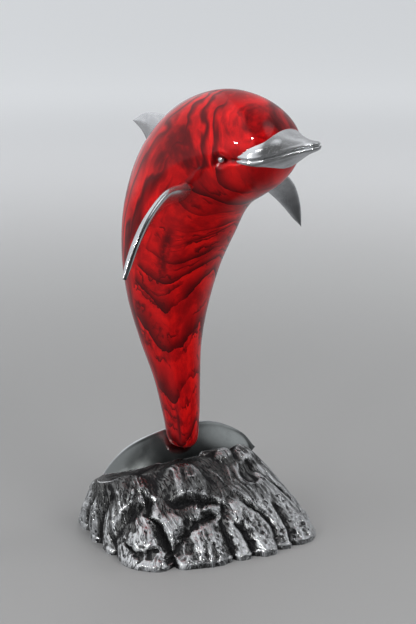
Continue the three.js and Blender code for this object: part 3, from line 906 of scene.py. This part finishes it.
def rock_grid(degrees, share):
    """The rock's side, from its rim at share 0 to its crest at share 1."""
    cos, sin = np.cos(np.radians(degrees)), np.sin(np.radians(degrees))
    reach = (np.abs(cos) / (ROCK_WIDTH / 2)) ** CORNER + (np.abs(sin) / (ROCK_DEPTH / 2)) ** CORNER
    reach = reach ** (-1 / CORNER)
    crest_x = SEAT[0] + cos * FLUKE_SPAN * np.where(cos < 0, CREST_LEFT, CREST_RIGHT)
    crest_y = SEAT[1] + CREST_BACK + sin * CREST_DEPTH
    x = reach * cos * (1 - share) + crest_x * share
    y = reach * sin * (1 - share) + crest_y * share
    off = (x - SEAT[0]) / (FLUKE_SPAN / 2)
    crest = ROCK_HEIGHT + CREST_RISE * off - CREST_ARCH * off * off
    z = ROCK_LIP + (crest - ROCK_LIP) * (1 - (1 - share) ** SLOPE_POWER)
    lift = carving(degrees, share)
    bosses = 0
    for middle_x, middle_y, radius, rise in BOSSES:
        inside = 1 - ((x / ROCK_WIDTH - middle_x) ** 2 + (y / ROCK_WIDTH - middle_y) ** 2) / radius**2
        bosses = bosses + SWELL_RISE * rise * dome(inside)
    x = x + cos * lift * (1 - share) * SIDE_SWELL
    y = y + sin * lift * (1 - share) * SIDE_SWELL
    return np.stack([x, y, z + lift * share + bosses], axis=-1)


def hashed(points, seed):
    """A fixed random number from 0 to 1 for each whole point."""
    mixed = np.sin(points @ np.array([127.1, 311.7, 74.7]) + seed * 17.3) * 43758.5453
    return mixed - np.floor(mixed)


def noise(points, seed):
    """Smooth noise from -1 to 1."""
    base = np.floor(points)
    part = points - base
    part = part * part * (3 - 2 * part)
    total = 0
    for corner in np.ndindex(2, 2, 2):
        weight = np.prod(np.where(np.array(corner) == 1, part, 1 - part), axis=-1)
        total = total + weight * hashed(base + np.array(corner), seed)
    return 2 * total - 1


def relief(grid, degrees, share):
    """Folds that run down the sides, bend and part, with finer ones between them, and pits near the foot."""
    turn = np.radians(degrees)
    bend = np.stack([noise(grid / 21, seed) for seed in (11, 12, 13)], axis=-1)

    def laid(around, up, bent):
        straight = np.broadcast_arrays(np.cos(turn) * around, np.sin(turn) * around, share * up)
        return np.stack(straight, axis=-1) + bent * bend

    spot = laid(11, 2.6, 0.9)
    broad = 1 - np.abs(noise(spot, 1) + 0.35 * noise(spot * [2.3, 2.3, 1.8], 2))
    spot = laid(30, 6, 1.8)
    narrow = 1 - np.abs(noise(spot, 3) + 0.4 * noise(spot * 2.1, 7))
    lump = noise(grid / 9, 4) + 0.5 * noise(grid / 4.5, 5)
    pits = np.maximum(noise(grid / 3.6, 8) + 0.3 * noise(grid / 1.9, 9) - 0.15, 0)
    foot = 1 - smooth(0.1, 0.45, share)
    rise = FOLD_HEIGHT * (broad - 0.62) + FINE_FOLD_HEIGHT * (narrow - 0.62) + LUMP_HEIGHT * lump
    return (rise - PIT_DEPTH * pits * foot - 0.1 * pits) * (1 - smooth(0.8, 1.0, share))


def blur(values, times):
    for _ in range(times):
        rolled = (np.roll(values, 1, 1) + np.roll(values, -1, 1)) / 2
        lengthwise = values.copy()
        lengthwise[1:-1] = (values[2:] + values[:-2]) / 2
        values = (2 * values + 3 * rolled + 3 * lengthwise) / 8
    return values


def rock_fields(grid, degrees, share):
    """How sunken each point of the rock is, darker towards the crest, with painted shade on the left and a
    painted highlight on the right, and the rock's side laid out for its engraved lines.
    """
    outward = normals_of(grid, (0, 1))

    def depth(rounds):
        return ((blur(grid, int(rounds * FINE**2)) - grid) * outward).sum(2)

    # The rock is darker towards the crest; painted shade darkens its left side, and a painted highlight lightens
    # its right side.
    rightward = (1 - np.cos(np.radians(degrees - 190))) / 2
    hollow_and_shade = 0.42 + depth(CLOSE_ROUNDS) / CLOSE_DEPTH + depth(WIDE_ROUNDS) / WIDE_DEPTH
    hollow_and_shade = hollow_and_shade + 0.18 * smooth(0.35, 0.75, share) + 0.12 * (1 - rightward) - 0.14 * rightward
    carve = np.broadcast_arrays(np.radians(degrees) * 0.09, share * 0.09, 0 * share)
    return {"hollow_and_shade": np.clip(hollow_and_shade, -0.2, 1.2), "carve": np.stack(carve, axis=-1)}


def make_rock():
    rings, sides = fine(ROCK_MESH)
    degrees = (np.arange(sides) * 360 / sides - 180)[None, :]
    share = np.linspace(0, 1, rings + 1)[:, None]
    grid = rock_grid(degrees, share)
    grid = grid + normals_of(grid, (0, 1)) * relief(grid, degrees, share)[..., None]
    grid[0, :, 2] = ROCK_LIP
    floor_ring = grid[:1].copy()
    floor_ring[..., 2] = 0
    top = np.array([SEAT[0], SEAT[1] + CREST_BACK, ROCK_HEIGHT + 2])
    inner = [grid[-1:] + (top - grid[-1:]) * part for part in INNER_RINGS]
    grid = np.concatenate([floor_ring, grid, *inner])
    share = np.concatenate([[[0]], share, [[1.0]] * len(inner)])
    underside = np.array([SEAT[0], SEAT[1], 0.0])
    return skin("rock_casting", grid, underside, top, [ROCK], 0, rock_fields(grid, degrees, share))


rock = make_rock()
fluke_pocket = fin("pocket", *fluke_edges(), FLUKE_THICK, FLUKE_POCKET_MESH, grow=SEAT_CLEARANCE)
merge(rock, fluke_pocket, "DIFFERENCE")
tail_pocket = fin("pocket", *edges(BODY), TAIL_POCKET_MESH, grow=SEAT_CLEARANCE, crowded=0.85)
merge(rock, tail_pocket, "DIFFERENCE")
# The pockets' walls have the rock's finish.
rock.data.materials.clear()
rock.data.materials.append(ROCK)
rock.data.polygons.foreach_set("material_index", np.zeros(len(rock.data.polygons), np.int32))

SHARP_ANGLE = math.radians(62)
for item in (dolphin, rock):
    item.data.shade_smooth()
    item.data.set_sharp_from_angle(angle=SHARP_ANGLE)
    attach(item, "root")
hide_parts("dolphin")
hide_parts("rock_base")

# ---------------------------------------------------------------- floor and light

FLOOR_RADII, FLOOR_SIDES = (0.5, 2, 6, 16), 96


def floor_material():
    made, n = material("floor_with_painted_glow")
    away = n.vector_math("LENGTH", {0: n.add("ShaderNodeTexCoord", out="Object")}, out=1)
    # Darker near the middle; far out a painted glow (the emission) lightens it.
    n.surface(
        {
            "Base Color": n.mix(n.range(away, 0.3, 2.5), rgb(0.235, 0.235, 0.233), rgb(0.58, 0.585, 0.59)),
            "Roughness": 0.6,
            "Emission Color": rgb(0.95, 0.98, 1),
            "Emission Strength": n.range(away, 1.2, 4.0, 0.0, 0.27),
        }
    )
    return made


def make_floor():
    """A flat round floor, far wider than the view, darker near the middle and pale far out under a painted glow.
    Gloss doesn't mirror it.
    """
    turn = circle(FLOOR_SIDES)
    rings = [np.stack([radius * np.cos(turn), radius * np.sin(turn), 0 * turn], 1) for radius in FLOOR_RADII]
    points = np.vstack([*rings, [[0, 0, 0]]])
    faces = [(len(points) - 1, i, (i + 1) % FLOOR_SIDES) for i in range(FLOOR_SIDES)]
    for base in range(0, (len(rings) - 1) * FLOOR_SIDES, FLOOR_SIDES):
        for i in range(FLOOR_SIDES):
            here, there = base + i, base + (i + 1) % FLOOR_SIDES
            faces.append((here, here + FLOOR_SIDES, there + FLOOR_SIDES, there))
    mesh = bpy.data.meshes.new("floor")
    mesh.from_pydata(points.tolist(), [], faces)
    mesh.materials.append(floor_material())
    mesh.shade_smooth()
    item = bpy.data.objects.new("floor", mesh)
    scene.collection.objects.link(item)
    item.visible_glossy = False


def studio_world():
    """Soft light from the left and from behind, little from the right and the front, and a soft ceiling."""
    world = bpy.data.worlds.new("studio")
    world.use_nodes = True
    n = Nodes(world.node_tree)
    way = n.add("ShaderNodeTexCoord", out="Generated")
    x, y, z = n.split(way)
    left = n.math("MULTIPLY_ADD", x, -0.906, n.times(y, 0.423))
    behind = n.math("MULTIPLY_ADD", x, 0.423, n.times(y, 0.906))
    upright = n.most(n.range(left, -0.02, 0.16, 0.02, 0.66), n.range(behind, -0.1, 0.6, 0.02, 0.38))
    below = n.range(n.most(left, behind), -0.2, 0.5, 0.08, 0.30)
    glow = n.mix(n.range(z, -0.12, -0.02, 1.0, 0.0), upright, below, "FLOAT")
    glow = n.math("ADD", glow, n.range(z, 0.5, 1.0, 0.0, 0.16))
    # A tall soft window to the right.
    toward = n.vector_math("DOT_PRODUCT", {0: way, 1: (0.61, -0.395, 0.687)}, out=1)
    glow = n.math("ADD", glow, n.range(toward, 0.93, 0.995, 0.0, 1.0))
    shade = n.add("ShaderNodeBackground", {"Color": rgb(0.97, 0.985, 1.02), "Strength": glow})
    n.add("ShaderNodeOutputWorld", {"Surface": shade})
    return world


def soft_box(name, place_at, aim, size, power, mirrored=True):
    """A lamp that is a pale panel. One that isn't mirrored gives light alone."""
    light = bpy.data.lights.new(name, "AREA")
    light.shape = "RECTANGLE"
    light.size, light.size_y = size
    light.energy = power
    item = bpy.data.objects.new(name, light)
    item.location = place_at
    item.rotation_euler = (Vector(aim) - Vector(place_at)).to_track_quat("-Z", "Y").to_euler()
    item.visible_glossy = mirrored
    scene.collection.objects.link(item)


make_floor()
scene.world = studio_world()
soft_box("panel_left", (-1.7, 0.2, 1.0), (0, 0, 0.2), (1.6, 1.6), 12, False)
soft_box("ceiling", (0.2, -0.2, 2.4), (0, 0, 0), (2.4, 2.4), 29, False)
soft_box("fill_front", (0.7, -2.0, 1.4), (0, 0, 0.25), (1.2, 1.2), 26, False)
soft_box("lamp_left", (-1.418, -0.968, 0.72), (0, 0, 0.35), (0.12, 0.08), 3)
soft_box("lamp_front", (-0.735, -1.346, 1.267), (0, 0, 0.35), (0.10, 0.10), 2.5)
soft_box("window_right", (1.8, -0.2, 1.2), (0, 0, 0.25), (0.35, 1.2), 6, False)
soft_box("window_back", (0.9, 1.6, 1.6), (0, 0, 0.2), (1.2, 0.6), 8, False)

scene.view_settings.view_transform = "Standard"
scene.view_settings.look = "None"
scene.view_settings.exposure = 0.25
scene.view_settings.gamma = 0.88
